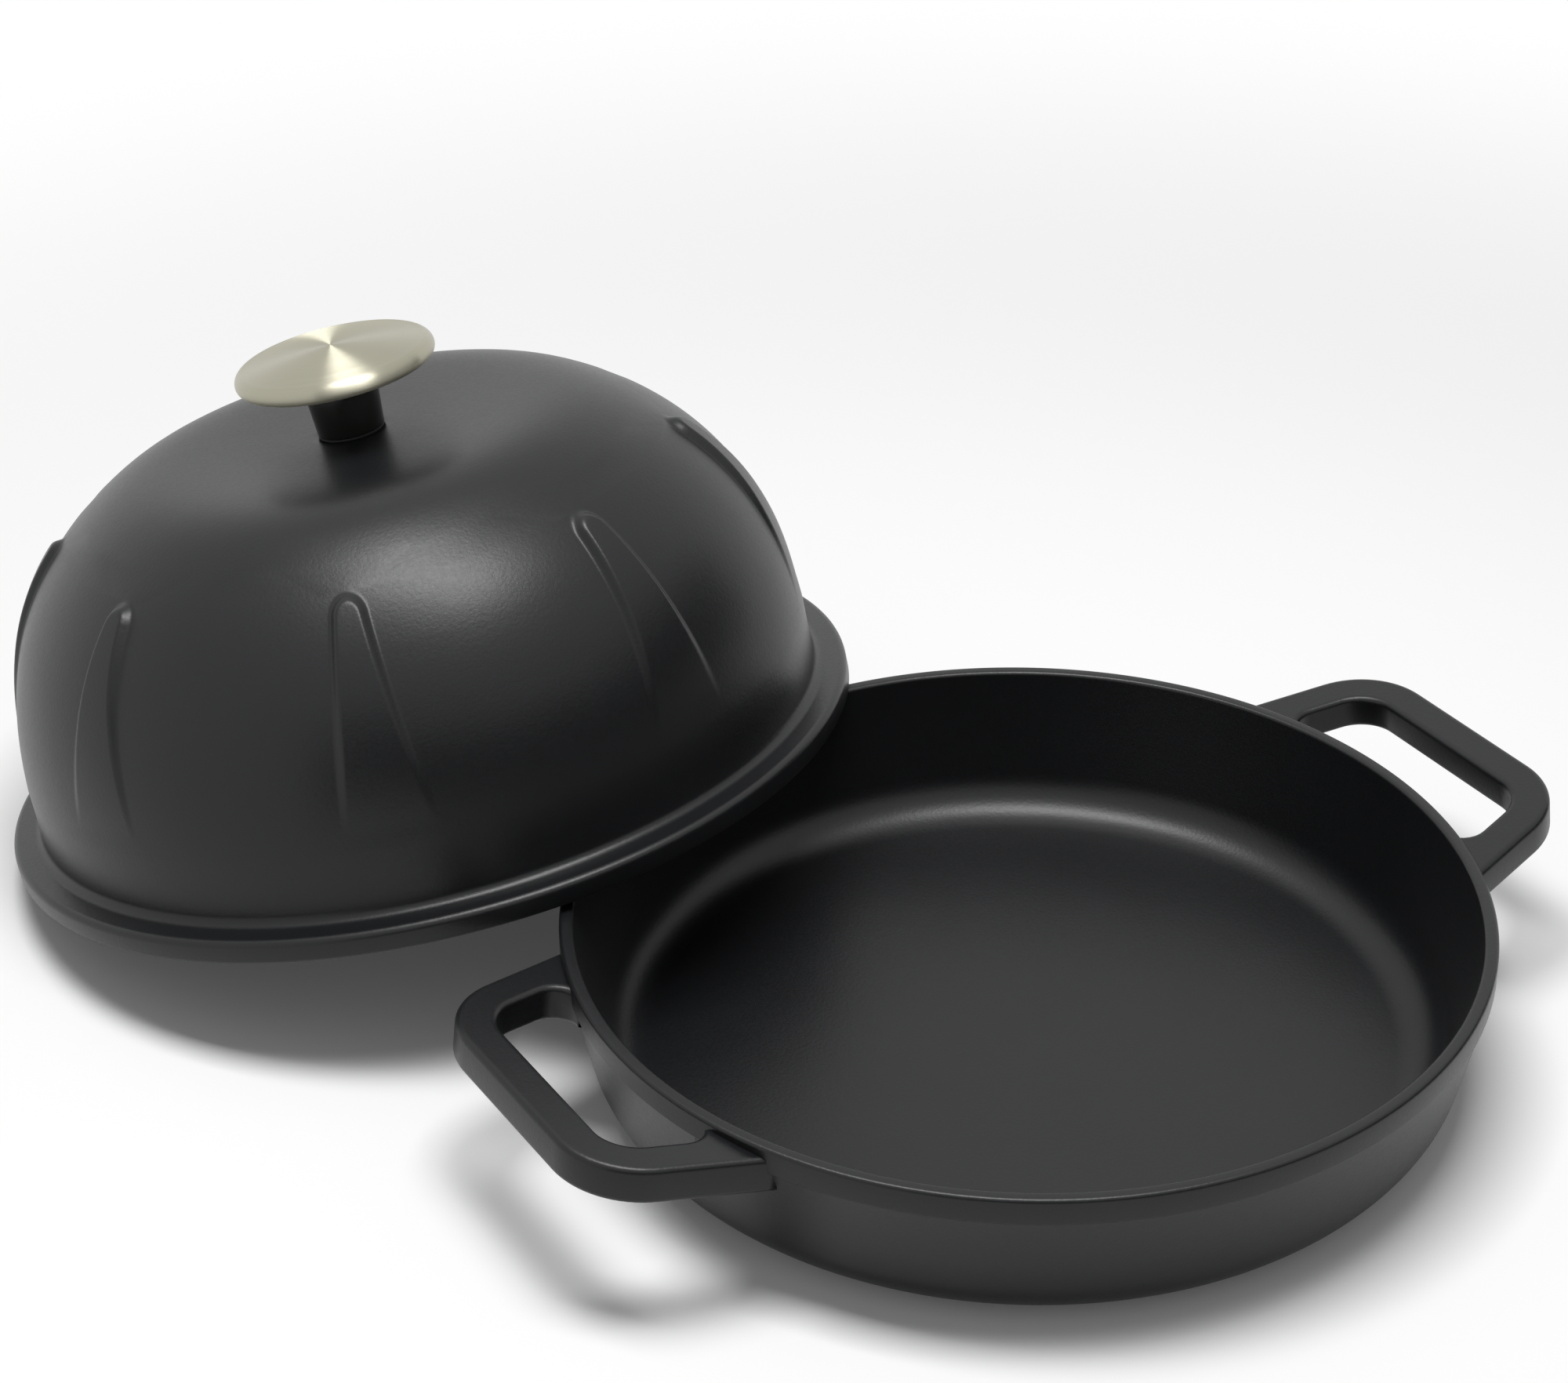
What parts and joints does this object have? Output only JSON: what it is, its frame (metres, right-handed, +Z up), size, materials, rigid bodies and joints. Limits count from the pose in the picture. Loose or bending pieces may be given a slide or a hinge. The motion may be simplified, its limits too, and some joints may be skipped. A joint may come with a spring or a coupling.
{
  "type": "bread cloche",
  "caption": "Cast-iron baking cloche: a low round pan with two loop handles and a tall domed lid with raised flutes and a turned disc knob, the lid leaning on the pan's rim.",
  "frame": {"origin": "centre of the pan's flat base, on the table", "axes": "+Z up from the table; X through the pan's two handles; the lid stands on the +Y side, towards -X, and leans on the pan's rim"},
  "size_m": [0.3969, 0.4699, 0.1686],
  "materials": {
    "pan_iron": "matte enamelled",
    "lid_iron": "matte enamelled",
    "knob_steel": "turned, brushed in circles",
    "stem_black": "glossy",
    "gasket_fibre": "matte",
    "screw_steel": "plain"
  },
  "bodies": {
    "pan": {"base_pan": "pan_iron"},
    "lid": {"dome_lid": "lid_iron", "knob_cap": "knob_steel", "knob_stem": "stem_black", "knob_gasket": "gasket_fibre", "knob_screw": "screw_steel", "flat_washer": "screw_steel", "lock_washer": "screw_steel"}
  },
  "joints": [
    {"name": "lid_lift", "type": "slide", "parent": "pan", "child": "lid", "axis": [0, 0, 1], "range_m": [0, 0.16]}
  ]
}
